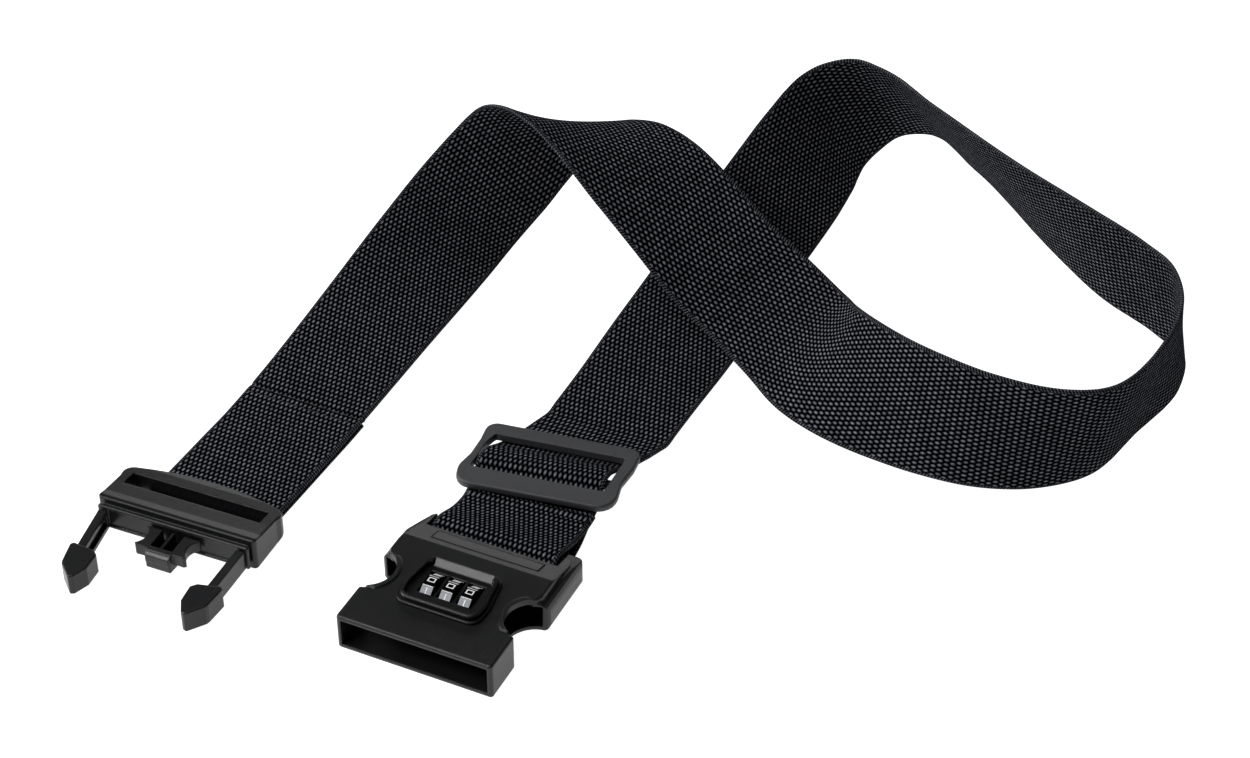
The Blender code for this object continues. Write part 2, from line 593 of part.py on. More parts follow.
# ---------------------------------------------------------------- webbing
def catmull(stations, u):
    """Point of the route's spline at station number u, by chord-length Catmull-Rom on both edges."""
    last = len(stations) - 1
    i = min(max(int(math.floor(u)), 0), last - 1)
    t = u - i
    pick = [min(max(i + k, 0), last) for k in (-1, 0, 1, 2)]
    sets = [(Vector(stations[p][0]), Vector(stations[p][1])) for p in pick]
    if i == 0:
        sets[0] = tuple(2 * sets[1][k] - sets[2][k] for k in (0, 1))
    if i == last - 1:
        sets[3] = tuple(2 * sets[2][k] - sets[1][k] for k in (0, 1))
    mids = [(a + b) / 2 for a, b in sets]
    d = [max((mids[k + 1] - mids[k]).length, 1e-6) for k in range(3)]
    out = []
    for e in (0, 1):
        p0, p1, p2, p3 = (s[e] for s in sets)
        m1 = ((p1 - p0) / d[0] * d[1] + (p2 - p1) / d[1] * d[0]) / (d[0] + d[1]) * d[1]
        m2 = ((p2 - p1) / d[1] * d[2] + (p3 - p2) / d[2] * d[1]) / (d[1] + d[2]) * d[1]
        h = (2 * t ** 3 - 3 * t ** 2 + 1, t ** 3 - 2 * t ** 2 + t, -2 * t ** 3 + 3 * t ** 2, t ** 3 - t ** 2)
        out.append(p1 * h[0] + m1 * h[1] + p2 * h[2] + m2 * h[3])
    return out


def ribbon(name, rungs, mat, matrix=None, thick=WEB_THICK):
    """Closed flat band through rungs of (left edge, right edge), half its thickness to each side."""
    loops = []
    count = len(rungs)
    for i, (a, b) in enumerate(rungs):
        before, after = rungs[max(i - 1, 0)], rungs[min(i + 1, count - 1)]
        along = ((after[0] + after[1]) - (before[0] + before[1])).normalized()
        across = (b - a).normalized()
        normal = across.cross(along).normalized()
        mid = (a + b) / 2
        half = across * (WEB_WIDTH / 2)
        offset = normal * (thick / 2)
        loops.append([mid - half - offset, mid + half - offset, mid + half + offset, mid - half + offset])
    return finish(loft(name, loops), name, mat, matrix)


def resample(points, step):
    """Points at a nearly even spacing on a polyline of 2-D points, smoothed by Catmull-Rom."""
    fine = []
    last = len(points) - 1
    for i in range(last):
        p = [Vector(points[min(max(i + k, 0), last)]) for k in (-1, 0, 1, 2)]
        for s in range(12):
            t = s / 12.0
            fine.append(0.5 * (2 * p[1] + (p[2] - p[0]) * t + (2 * p[0] - 5 * p[1] + 4 * p[2] - p[3]) * t ** 2
                               + (3 * p[1] - p[0] - 3 * p[2] + p[3]) * t ** 3))
    fine.append(Vector(points[-1]))
    out = [fine[0]]
    for q in fine[1:]:
        if (q - out[-1]).length >= step:
            out.append(q)
    if (out[-1] - fine[-1]).length > 0.3 * step:
        out.append(fine[-1])
    else:
        out[-1] = fine[-1]
    return out


def side_rungs(points, line):
    """Rungs of a band in (y, z) points; line(y, z) gives the x of its middle and its weft's yaw and fall."""
    rungs = []
    half = WEB_WIDTH / 2
    for p in points:
        xm, yaw, fall = line(p[0], p[1])
        side = Vector((math.cos(yaw), math.sin(yaw), -math.sin(fall))).normalized() * half
        mid = Vector((xm, p[0], p[1]))
        rungs.append((mid - side, mid + side))
    return rungs


def table(rows, y):
    """Linear interpolation of the columns after the first in rows sorted by the first column."""
    if y <= rows[0][0]:
        return rows[0][1:]
    for a, b in zip(rows, rows[1:]):
        if y <= b[0]:
            t = (y - a[0]) / (b[0] - a[0])
            return tuple(p + (q - p) * t for p, q in zip(a[1:], b[1:]))
    return rows[-1][1:]


def build_webbing(fabric):
    nodes = []
    for name, u0, u1 in SPLITS:
        rungs = []
        steps = max(4, int((u1 - u0) * 3.6))
        for i in range(steps + 1):
            u = u0 + (u1 - u0) * i / steps
            rungs.append(tuple(catmull(ROUTE, u)))
        # leave a hairline between neighbouring nodes
        for end, inner in ((0, 1), (-1, -2)):
            step = ((rungs[inner][0] + rungs[inner][1]) - (rungs[end][0] + rungs[end][1])) / 2
            shift = step.normalized() * (GAP / 2 + 0.05)
            rungs[end] = (rungs[end][0] + shift, rungs[end][1] + shift)
        nodes.append(ribbon(name, rungs, fabric))

    # sewn end at the plug half: under the rear bar, over the inner bar and back under itself
    upper = [(60.0, 3.05), (40.0, 3.0), (26.0, 3.0), (16.0, 3.05), (11.0, 3.05), (9.6, 3.05), (8.3, 3.6), (7.75, 5.05), (5.8, 5.95),
             (4.3, 5.4), (3.45, 3.6), (4.0, 1.8), (5.6, 1.1), (9.0, 1.1), (26.0, 1.1), (50.0, 1.1), (62.0, 1.1), (69.0, 1.3), (77.0, 1.73)]

    def plug_line(y, z):
        fall = math.radians(0.9 * max(0.0, (y - 60.0) / 17.0))
        return (-105.85 + (y - 22.5) * 0.024, math.radians(M_YAW * min(1.0, max(0.0, (40.0 - y) / 20.0))), fall)

    nodes.append(ribbon("webbing_plug_loop", side_rungs(resample(upper, 1.3), plug_line), fabric))

    # hump through the tri-glide
    glide = place(G_ORIGIN, G_YAW)
    rungs = []
    for y, z in resample(HUMP, 1.4):
        x, turn = table(DRIFT, y)
        side = Vector((math.cos(math.radians(turn)), math.sin(math.radians(turn)), 0.0)) * (WEB_WIDTH / 2)
        rungs.append((Vector((x, y, z)) - side, Vector((x, y, z)) + side))
    nodes.append(ribbon("webbing_adjuster", rungs, fabric, glide))

    # lower layer from the tri-glide to the lock half, round its bar, and the upper flap to the cut end
    under = [(60.35, 1.15), (50.0, 1.15), (42.0, 1.15), (36.5, 1.2), (32.5, 1.4), (30.2, 2.3), (29.2, 4.2), (29.1, 6.6),
             (29.9, 8.8), (31.8, 9.95), (34.6, 10.0), (37.4, 9.3), (41.0, 7.8), (46.0, 5.7), (51.0, 4.2), (56.0, 3.3),
             (62.8, 3.05)]
    low_line = [(34.0, -0.4, 0.0), (42.0, -0.2, 2.5), (50.0, -1.0, 5.0), (60.35, -2.9, 8.5)]
    top_line = [(34.0, -0.4, 0.0), (62.8, -1.8, 5.4)]

    def lock_line(y, z):
        x, turn = table(low_line if z < 2.1 else top_line, y)
        return (x, math.radians(turn), 0.0)

    nodes.append(ribbon("webbing_lock_loop", side_rungs(resample(under, 1.5), lock_line), fabric))
    return nodes


def build():
    clear_scene()
    plastic = material("black_plastic", (0.022, 0.023, 0.026), 0.42)
    dark = material("dark_plastic", (0.014, 0.014, 0.016), 0.5)
    chrome = material("dial_metal", (0.55, 0.56, 0.58), 0.25, 0.9)
    steel = material("steel", (0.45, 0.45, 0.46), 0.35, 1.0)
    fabric = material("webbing", (0.012, 0.013, 0.017), 0.85)
    nodes = []
    nodes += build_lock_half(plastic, dark, chrome, steel)
    nodes += build_plug_half(plastic, dark)
    nodes.append(build_tri_glide(plastic))
    nodes += build_webbing(fabric)
    return nodes


build()
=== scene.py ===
"""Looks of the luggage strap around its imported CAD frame: webbing, plastic, dials, stitching and studio."""

import heapq
import math
import random

import bmesh
import bpy
import numpy as np
from mathutils import Euler, Matrix, Vector


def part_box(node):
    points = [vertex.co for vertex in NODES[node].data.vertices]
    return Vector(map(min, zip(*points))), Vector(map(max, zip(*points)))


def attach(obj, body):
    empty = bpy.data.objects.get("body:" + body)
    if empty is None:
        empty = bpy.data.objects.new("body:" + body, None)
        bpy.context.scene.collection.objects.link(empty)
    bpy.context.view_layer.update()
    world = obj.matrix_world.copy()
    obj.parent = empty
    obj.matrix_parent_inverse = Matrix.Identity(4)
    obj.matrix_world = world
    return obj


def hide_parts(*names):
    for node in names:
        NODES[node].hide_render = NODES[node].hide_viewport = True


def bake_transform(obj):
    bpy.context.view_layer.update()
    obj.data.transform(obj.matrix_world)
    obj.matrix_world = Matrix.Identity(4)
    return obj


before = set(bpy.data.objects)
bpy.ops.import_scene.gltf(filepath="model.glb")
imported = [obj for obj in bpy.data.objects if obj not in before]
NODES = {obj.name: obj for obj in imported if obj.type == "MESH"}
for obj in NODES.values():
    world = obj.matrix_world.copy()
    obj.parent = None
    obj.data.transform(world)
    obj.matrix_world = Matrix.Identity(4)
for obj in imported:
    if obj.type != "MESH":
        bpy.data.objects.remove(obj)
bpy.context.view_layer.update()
MM = 0.001

# Webbing, in millimetres
WIDTH = 50.0
THICK = 1.6
WEAVE_ALONG = 4.6            # length of the weave's repeat along the strap
WEAVE_ACROSS = WIDTH / 26.0  # width of the repeat: 26 pairs of yarns
BUMP_LONG, BUMP_WIDE = 1.4, 0.86
SELVEDGE = 1.7

# The strap's nodes from its sewn end at the plug half to the tri-glide, then to its cut end at the lock half
MAIN_RUN = ["webbing_plug_loop", "webbing_plug_leg", "webbing_rise", "webbing_fold", "webbing_slope",
            "webbing_near_side", "webbing_end_bend", "webbing_far_side", "webbing_far_bend", "webbing_return"]
ADJUSTER_RUN = "webbing_adjuster"
LOCK_RUN = "webbing_lock_loop"


# ---------------------------------------------------------------- reading the strap's path from the frame
def rungs_of(node, last):
    """The weft lines of a webbing band as (middle, side, normal) in mm, from the end nearest to the point last.

    Each is a rectangle of WIDTH by THICK among the band's corners, ordered by distance along mesh edges.
    """
    mesh = NODES[node].data
    corners = np.round(np.array([v.co for v in mesh.vertices], float) / MM, 3)
    points, same = np.unique(corners, axis=0, return_inverse=True)
    same = same.reshape(-1)
    gaps = np.linalg.norm(points[:, None] - points[None], axis=2)
    wide = np.abs(gaps - WIDTH) < 0.006
    thin = np.abs(gaps - THICK) < 0.006
    found = {}
    for a in range(len(points)):
        for b in np.nonzero(wide[a])[0]:
            for d in np.nonzero(thin[a])[0]:
                for c in np.nonzero(wide[d] & thin[b])[0]:
                    key = tuple(sorted((a, b, c, d)))
                    side = (points[b] - points[a]) / WIDTH
                    normal = (points[d] - points[a]) / THICK
                    skew = np.linalg.norm(points[c] - points[d] - side * WIDTH)
                    square = abs(side @ normal) < 0.01 and skew < 0.05
                    if square and len(set(key)) == 4 and key not in found:
                        found[key] = (points[list(key)].mean(0), side, normal)
    links = {k: set() for k in range(len(points))}
    for edge in mesh.edges:
        a, b = same[edge.vertices[0]], same[edge.vertices[1]]
        links[a].add(b)
        links[b].add(a)
    first = min(found, key=lambda key: np.linalg.norm(found[key][0] - last))
    reach = {k: 0.0 for k in first}
    queue = [(0.0, k) for k in first]
    while queue:
        far, k = heapq.heappop(queue)
        for other in links[k]:
            length = far + gaps[k, other]
            if length < reach.get(other, 1e9):
                reach[other] = length
                heapq.heappush(queue, (length, other))
    return [found[key] for key in sorted(found, key=lambda key: sum(reach.get(k, 1e9) for k in key))]


def run_of(names, last):
    """The rungs of several nodes in order along the strap."""
    ordered = []
    for name in names:
        ordered += rungs_of(name, last)
        last = ordered[-1][0]
    return ordered


def consistent(rungs, side):
    """The same rungs with sides and normals that keep their sense along the strap."""
    out = []
    for i, (mid, s, n) in enumerate(rungs):
        s = s if s @ side > 0 else -s
        side = s
        ahead = rungs[min(i + 1, len(rungs) - 1)][0] - rungs[max(i - 1, 0)][0]
        n = n if np.cross(s, ahead) @ n > 0 else -n
        out.append((mid, s, n))
    return out


SEWN_END = np.array([-105.0, 80.0, 1.8])     # a point in mm near the end of the sewn lower layer
whole = consistent(run_of(MAIN_RUN + [ADJUSTER_RUN, LOCK_RUN], SEWN_END), np.array([1.0, 0.0, 0.0]))


def spline(rungs, step):
    """Evenly resampled rungs: (distance along, middle, side, normal) arrays in mm."""
    mids = np.array([r[0] for r in rungs])
    sides = np.array([r[1] for r in rungs])
    norms = np.array([r[2] for r in rungs])
    keep = [0]
    for i in range(1, len(mids)):
        if np.linalg.norm(mids[i] - mids[keep[-1]]) > 0.55:
            keep.append(i)
    mids, sides, norms = mids[keep], sides[keep], norms[keep]
    along = np.concatenate([[0.0], np.cumsum(np.linalg.norm(np.diff(mids, axis=0), axis=1))])
    grid = np.linspace(0.0, along[-1], int(along[-1] / step) + 1)

    def through(values):
        slopes = np.gradient(values, along, axis=0)
        i = np.clip(np.searchsorted(along, grid, side="right") - 1, 0, len(along) - 2)
        h = (along[i + 1] - along[i])[:, None]
        t = ((grid - along[i]) / h[:, 0])[:, None]
        return ((2 * t ** 3 - 3 * t ** 2 + 1) * values[i] + (t ** 3 - 2 * t ** 2 + t) * h * slopes[i]
                + (-2 * t ** 3 + 3 * t ** 2) * values[i + 1] + (t ** 3 - t ** 2) * h * slopes[i + 1])

    mid, side = through(mids), through(sides)
    side /= np.linalg.norm(side, axis=1)[:, None]
    ahead = np.gradient(mid, axis=0)
    norm = np.cross(side, ahead)
    norm /= np.linalg.norm(norm, axis=1)[:, None]
    return grid, mid, side, norm


STEP = 1.0                   # wanted spacing of the rungs in mm
dist, mids, sides, norms = spline(whole, STEP)
SPACING = dist[1] - dist[0]
print("strap length %.1f mm, %d rungs" % (dist[-1], len(dist)))


# ---------------------------------------------------------------- node helpers
class Graph:
    """A small wrapper that writes shader node maths as calls."""

    def __init__(self, name):
        self.material = bpy.data.materials.new(name)
        self.material.use_nodes = True
        self.tree = self.material.node_tree
        self.shader = self.tree.nodes["Principled BSDF"]

    def node(self, kind, **settings):
        node = self.tree.nodes.new(kind)
        for key, value in settings.items():
            setattr(node, key, value)
        return node

    def put(self, socket, value):
        if isinstance(value, bpy.types.NodeSocket):
            self.tree.links.new(value, socket)
        elif value is not None:
            socket.default_value = value

    def math(self, operation, *values):
        node = self.node("ShaderNodeMath", operation=operation)
        for socket, value in zip(node.inputs, values):
            self.put(socket, value)
        return node.outputs[0]

    def add(self, a, b):
        return self.math("ADD", a, b)

    def sub(self, a, b):
        return self.math("SUBTRACT", a, b)

    def mul(self, a, b):
        return self.math("MULTIPLY", a, b)

    def vec(self, x, y, z=0.0):
        node = self.node("ShaderNodeCombineXYZ")
        for socket, value in zip(node.inputs, (x, y, z)):
            self.put(socket, value)
        return node.outputs[0]

    def split(self, vector):
        node = self.node("ShaderNodeSeparateXYZ")
        self.put(node.inputs[0], vector)
        return node.outputs

    def noise(self, vector, scale, detail=2.0, roughness=0.5):
        node = self.node("ShaderNodeTexNoise")
        self.put(node.inputs["Vector"], vector)
        node.inputs["Scale"].default_value = scale
        node.inputs["Detail"].default_value = detail
        node.inputs["Roughness"].default_value = roughness
        return node.outputs["Fac"]

    def white(self, vector):
        node = self.node("ShaderNodeTexWhiteNoise", noise_dimensions="3D")
        self.put(node.inputs["Vector"], vector)
        return node.outputs["Value"]

    def ramp(self, value, low, high, out_low=0.0, out_high=1.0, smooth=True):
        node = self.node("ShaderNodeMapRange", interpolation_type="SMOOTHSTEP" if smooth else "LINEAR")
        self.put(node.inputs["Value"], value)
        for socket, number in zip(node.inputs[1:5], (low, high, out_low, out_high)):
            socket.default_value = number
        return node.outputs[0]

    def mix(self, factor, a, b):
        node = self.node("ShaderNodeMix", data_type="FLOAT")
        self.put(node.inputs[0], factor)
        self.put(node.inputs[2], a)
        self.put(node.inputs[3], b)
        return node.outputs[0]

    def colour(self, factor, a, b):
        node = self.node("ShaderNodeMix", data_type="RGBA")
        self.put(node.inputs[0], factor)
        self.put(node.inputs[6], a if isinstance(a, bpy.types.NodeSocket) else (*a, 1.0))
        self.put(node.inputs[7], b if isinstance(b, bpy.types.NodeSocket) else (*b, 1.0))
        return node.outputs[2]

    def bump(self, height, distance, strength=1.0, normal=None):
        node = self.node("ShaderNodeBump")
        node.inputs["Strength"].default_value = strength
        node.inputs["Distance"].default_value = distance
        self.put(node.inputs["Height"], height)
        if normal is not None:
            self.put(node.inputs["Normal"], normal)
        return node.outputs[0]

    def set(self, **values):
        for key, value in values.items():
            self.put(self.shader.inputs[key.replace("_", " ")], value)

    def uv(self, name):
        """A UV map whose unit is 0.1 m, as (across, along) in millimetres."""
        u, v, _ = self.split(self.node("ShaderNodeUVMap", uv_map=name).outputs[0])
        return self.mul(u, 100.0), self.mul(v, 100.0)

    def place(self):
        """The point in the object's own coordinates, in metres."""
        return self.node("ShaderNodeTexCoord").outputs["Object"]


# ---------------------------------------------------------------- materials
def webbing_material():
    """Plain weave of thick black yarns: staggered oval bumps along the strap, with a finer edge."""
    g = Graph("woven_webbing")
    u, v = g.uv("strap")
    # yarns are never quite even
    drift = g.noise(g.vec(g.mul(u, 0.02), g.mul(v, 0.02)), 3.0)
    u = g.add(u, g.mul(g.sub(drift, 0.5), 0.35))
    jitter = g.noise(g.vec(g.mul(u, 0.05), g.mul(v, 0.05), 4.0), 9.0)
    v = g.add(v, g.mul(g.sub(jitter, 0.5), 0.55))
    domes, names = [], []
    for shift in (0.0, 0.5):
        along = g.add(g.mul(v, 1.0 / WEAVE_ALONG), shift)
        across = g.add(g.mul(u, 1.0 / WEAVE_ACROSS), shift)
        x = g.mul(g.sub(g.math("FRACT", along), 0.5), WEAVE_ALONG / BUMP_LONG)
        y = g.mul(g.sub(g.math("FRACT", across), 0.5), WEAVE_ACROSS / BUMP_WIDE)
        domes.append(g.sub(1.0, g.add(g.mul(x, x), g.mul(y, y))))
        names.append(g.vec(g.math("FLOOR", along), g.math("FLOOR", across), shift * 9.0))
    second = g.math("GREATER_THAN", domes[1], domes[0])
    top = g.math("MAXIMUM", g.math("MAXIMUM", domes[0], domes[1]), 0.0)
    bump = g.math("POWER", top, 0.6)
    choose = g.node("ShaderNodeMix", data_type="VECTOR")
    g.put(choose.inputs[0], second)
    g.put(choose.inputs[4], names[0])
    g.put(choose.inputs[5], names[1])
    lot = g.white(choose.outputs[1])
    # twist of the filaments inside each yarn
    twist = g.math("SINE", g.add(g.mul(v, 11.0), g.mul(u, 17.0)))
    fibre = g.noise(g.vec(g.mul(u, 0.9), g.mul(v, 0.25), 1.0), 4.0, 3.0)
    body = g.add(bump, g.mul(g.mul(twist, bump), 0.05))
    body = g.add(body, g.mul(g.sub(fibre, 0.5), 0.16))
    # selvedge: finer slanting yarns
    edge = g.math("ABSOLUTE", g.sub(u, WIDTH / 2))
    rim = g.ramp(edge, WIDTH / 2 - SELVEDGE - 0.3, WIDTH / 2 - SELVEDGE + 0.3)
    slant = g.math("SINE", g.add(g.mul(v, 2 * math.pi / 1.2), g.mul(edge, 2.4)))
    cord = g.math("SINE", g.mul(edge, 2 * math.pi / 0.85))
    hem = g.add(0.55, g.add(g.mul(slant, 0.28), g.mul(cord, 0.15)))
    height = g.mix(rim, body, hem)
    # painted highlight and shade: the base colour is bright on the yarn tops and on the raised selvedge and
    # nearly black in the gaps, standing in for the yarns' gloss and the shade between them
    painted_highlight_and_gap_shade = g.mix(rim, g.math("POWER", top, 3.0), g.mul(g.math("POWER", g.math("MAXIMUM", hem, 0.0), 2.4), 0.8))
    painted_light_and_yarn_tone = g.mul(painted_highlight_and_gap_shade, g.add(0.72, g.mul(lot, 0.42)))
    painted_light_and_yarn_tone = g.mul(painted_light_and_yarn_tone, g.add(0.8, g.mul(fibre, 0.4)))
    patch = g.noise(g.vec(g.mul(u, 0.004), g.mul(v, 0.004), 2.0), 6.0)
    painted_light_and_yarn_tone = g.mul(painted_light_and_yarn_tone, g.add(0.85, g.mul(patch, 0.3)))
    # the dark colour is painted shade in the gaps and the pale one a painted highlight on the tops; the
    # per-yarn, fibre and patch variations are real tone
    g.set(Base_Color=g.colour(painted_light_and_yarn_tone, (0.0001, 0.0001, 0.0002), (0.245, 0.252, 0.283)),
          Roughness=g.mix(painted_light_and_yarn_tone, 0.8, 0.42))
    g.shader.inputs["Specular IOR Level"].default_value = 0.0
    g.set(Normal=g.bump(height, 0.00085, 1.0))
    return g.material


def plastic_material(name, colour, roughness, grain, grain_scale=1700.0, edge_highlight=0.012):
    """Moulded plastic: fine spark-eroded grain, faint flow marks and paler convex edges, which are a painted
    highlight.
    """
    g = Graph(name)
    at = g.place()
    fine = g.noise(at, grain_scale, 2.0, 0.6)
    broad = g.noise(at, 60.0, 3.0)
    flow = g.noise(at, 14.0, 2.0)
    bevel = g.node("ShaderNodeBevel", samples=6)
    bevel.inputs["Radius"].default_value = 0.0008
    shade = g.add(g.mul(g.sub(broad, 0.5), 0.25), g.mul(g.sub(flow, 0.5), 0.3))
    geometry = g.node("ShaderNodeNewGeometry")
    # painted highlight: convex edges (high Pointiness) get a paler base colour, standing in for light caught on
    # the rounded edges
    painted_edge_highlight = g.ramp(geometry.outputs["Pointiness"], 0.51, 0.6, 0.0, 1.0)
    paler = tuple(c + edge_highlight for c in colour)
    g.set(Base_Color=g.colour(g.add(g.mul(painted_edge_highlight, 0.8), shade), colour, paler),
          Roughness=g.add(g.mul(g.sub(fine, 0.5), 0.16), g.add(roughness, g.mul(shade, 0.12))))
    g.set(Normal=g.bump(fine, grain, 0.6, bevel.outputs[0]))
    return g.material


def dial_material():
    """Plated metal of the dials with fine turning lines round the axle."""
    g = Graph("dial_metal")
    x, y, z = g.split(g.place())
    lines = g.noise(g.vec(g.mul(x, 14.0), g.mul(y, 0.4), g.mul(z, 0.4)), 900.0, 2.0)
    smear = g.noise(g.place(), 420.0, 3.0)
    g.set(Base_Color=g.colour(smear, (0.018, 0.0185, 0.02), (0.032, 0.033, 0.035)), Metallic=0.95,
          Roughness=g.add(0.12, g.mul(lines, 0.12)))
    g.set(Normal=g.bump(lines, 0.00001, 0.5))
    return g.material


def steel_material():
    g = Graph("plain_steel")
    streak = g.noise(g.place(), 700.0, 3.0)
    g.set(Base_Color=g.colour(streak, (0.32, 0.32, 0.33), (0.5, 0.5, 0.51)), Metallic=1.0,
          Roughness=g.add(0.25, g.mul(streak, 0.2)))
    g.set(Normal=g.bump(streak, 0.00003, 0.4))
    return g.material


def print_material(name, colour):
    """Printed or filled marking on a dial."""
    g = Graph(name)
    speck = g.noise(g.place(), 3000.0, 2.0)
    g.set(Base_Color=g.colour(speck, colour, tuple(c * 0.85 for c in colour)),
          Roughness=g.add(0.45, g.mul(speck, 0.1)))
    g.set(Normal=g.bump(speck, 0.00001, 0.3))
    return g.material


def thread_material():
    g = Graph("sewing_thread")
    at = g.place()
    twist = g.noise(at, 2600.0, 2.0)
    g.set(Base_Color=g.colour(twist, (0.004, 0.004, 0.005), (0.06, 0.062, 0.07)),
          Roughness=g.add(0.5, g.mul(twist, 0.2)))
    g.set(Normal=g.bump(twist, 0.00006, 0.7))
    return g.material


def frayed_material():
    """Broken yarn ends, paler than the woven face."""
    g = Graph("frayed_yarn")
    fuzz = g.noise(g.place(), 900.0, 3.0)
    g.set(Base_Color=g.colour(fuzz, (0.06, 0.06, 0.066), (0.42, 0.425, 0.44)),
          Roughness=g.add(0.6, g.mul(fuzz, 0.2)))
    g.set(Normal=g.bump(fuzz, 0.00005, 0.6))
    return g.material


def paint(names, material):
    for name in names:
        mesh = NODES[name].data
        for i in range(max(1, len(mesh.materials))):
            if i < len(mesh.materials):
                mesh.materials[i] = material
            else:
                mesh.materials.append(material)


webbing = webbing_material()
shell_plastic = plastic_material("moulded_plastic_grained", (0.010, 0.0104, 0.0115), 0.32, 0.00010, 2400.0)
plug_plastic = plastic_material("moulded_plastic_smooth", (0.011, 0.0114, 0.0125), 0.30, 0.00005, 2600.0)
glide_plastic = plastic_material("moulded_plastic_coarse", (0.054, 0.055, 0.058), 0.46, 0.00016, 2200.0)
bezel_plastic = plastic_material("moulded_plastic_bezel", (0.004, 0.004, 0.0045), 0.34, 0.00003, 2300.0)
inner_plastic = plastic_material("moulded_plastic_inner", (0.004, 0.004, 0.0045), 0.55, 0.00006)
dial_metal = dial_material()
steel = steel_material()
thread = thread_material()
frayed = frayed_material()
paint(["lock_shell", "lock_service_panel"], shell_plastic)
paint(["tri_glide"], glide_plastic)
paint(["plug_body", "plug_tongue", "plug_arm_left", "plug_arm_right"], plug_plastic)
paint(["lock_bezel"], bezel_plastic)
paint(["lock_base_cover", "lock_reset_slider"], inner_plastic)
paint(["dial_1", "dial_2", "dial_3"], dial_metal)
paint(["dial_sleeve_1", "dial_sleeve_2", "dial_sleeve_3", "dial_axle", "lock_bolt", "dial_detent_spring",
       "bolt_spring"], steel)


# ---------------------------------------------------------------- webbing meshes
def section():
    """Outline of the webbing's section in mm, as (across, up): flat faces and rounded selvedges."""
    half, t = WIDTH / 2, THICK / 2
    round_in = 0.9
    across = list(np.linspace(-half + round_in, half - round_in, 27))
    top = [(x, t) for x in across]
    right = [(half - round_in * (1 - math.sin(a)), t * math.cos(a)) for a in np.linspace(0, math.pi, 7)[1:-1]]
    bottom = [(x, -t) for x in reversed(across)]
    left = [(-x, y) for x, y in reversed(right)]
    return top + right + bottom + left


SECTION = section()


def distance_at(y, low, high):
    """Distance along the strap at which its middle first passes y between two distances."""
    inside = [k for k in range(len(dist)) if low < dist[k] < high]
    return float(dist[min(inside, key=lambda k: abs(mids[k][1] - y))])


SEAM_Y = 77.5                # where the doubled layer is sewn down behind the plug half
SEAM_DEPTH = 0.7
seam = distance_at(SEAM_Y, 90.0, 200.0)


def band(name, first, last, body):
    """Webbing mesh between two rung numbers, with a UV map in units of 0.1 m."""
    bm = bmesh.new()
    layer = bm.loops.layers.uv.new("strap")
    rows = []
    for i in range(first, last + 1):
        ripple = 0.16 * math.sin(dist[i] * 0.043) + 0.1 * math.sin(dist[i] * 0.117 + 1.7)
        row = []
        for x, y in SECTION:
            edge = abs(x) / (WIDTH / 2)
            lift = ripple * max(0.0, edge - 0.55) / 0.45 * (1 if x > 0 else -1)
            groove = SEAM_DEPTH * math.exp(-((dist[i] - seam) / 0.9) ** 2) if y > 0 else 0.0
            pull = 0.25 * edge ** 8 * math.copysign(1, x)
            p = mids[i] + sides[i] * (x - pull) + norms[i] * (y + 0.25 * lift - groove)
            row.append(bm.verts.new(p * MM))
        rows.append(row)
    count = len(SECTION)
    for r in range(len(rows) - 1):
        v0, v1 = dist[first + r] / 100.0, dist[first + r + 1] / 100.0
        for k in range(count):
            j = (k + 1) % count
            face = bm.faces.new((rows[r][k], rows[r][j], rows[r + 1][j], rows[r + 1][k]))
            face.smooth = True
            u0, u1 = ((SECTION[m][0] + WIDTH / 2) / 100.0 for m in (k, j))
            shift = 0.0 if (SECTION[k][1] + SECTION[j][1]) > 0 else WEAVE_ALONG / 200.0
            corners = ((u0, v0 + shift), (u1, v0 + shift), (u1, v1 + shift), (u0, v1 + shift))
            for loop, uv in zip(face.loops, corners):
                loop[layer].uv = uv
    for end, row in ((first, rows[0]), (last, rows[-1])):
        face = bm.faces.new(row)
        for loop in face.loops:
            loop[layer].uv = (0.25, dist[end] / 100.0)
    bmesh.ops.recalc_face_normals(bm, faces=bm.faces)
    mesh = bpy.data.meshes.new(name)
    bm.to_mesh(mesh)
    bm.free()
    mesh.materials.append(webbing)
    obj = bpy.data.objects.new(name, mesh)
    bpy.context.scene.collection.objects.link(obj)
    if body:
        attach(obj, body)
    return obj


LAST_STRETCH = 260           # rungs before the cut end that hold the hump over the tri-glide's bar
HUMP_Y = (66.0, 92.0)        # the hump lies between these, and its middle is higher than HUMP_ABOVE
HUMP_ABOVE = 6.5
FAR_JOIN_Y, NEAR_JOIN_Y = 150.0, 44.0    # where the pieces through the tri-glide meet the rest of the webbing
hump = [i for i in range(len(dist) - LAST_STRETCH, len(dist))
        if HUMP_Y[0] < mids[i][1] < HUMP_Y[1] and mids[i][2] > HUMP_ABOVE]
hump_top = max(hump, key=lambda i: mids[i][2])
far_join = max(i for i in range(hump_top) if mids[i][1] > FAR_JOIN_Y)
near_join = min(i for i in range(hump_top, len(dist)) if mids[i][1] < NEAR_JOIN_Y)
main = band("webbing_main", 0, far_join, "strap")
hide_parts(*MAIN_RUN)
far_part = band("webbing_into_tri_glide", far_join, hump_top, None)
near_part = band("webbing_out_of_tri_glide", hump_top, near_join, None)
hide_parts(ADJUSTER_RUN)
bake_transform(far_part)
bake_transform(near_part)
lock_end = band("webbing_lock_end", near_join, len(dist) - 1, "strap")
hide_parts(LOCK_RUN)


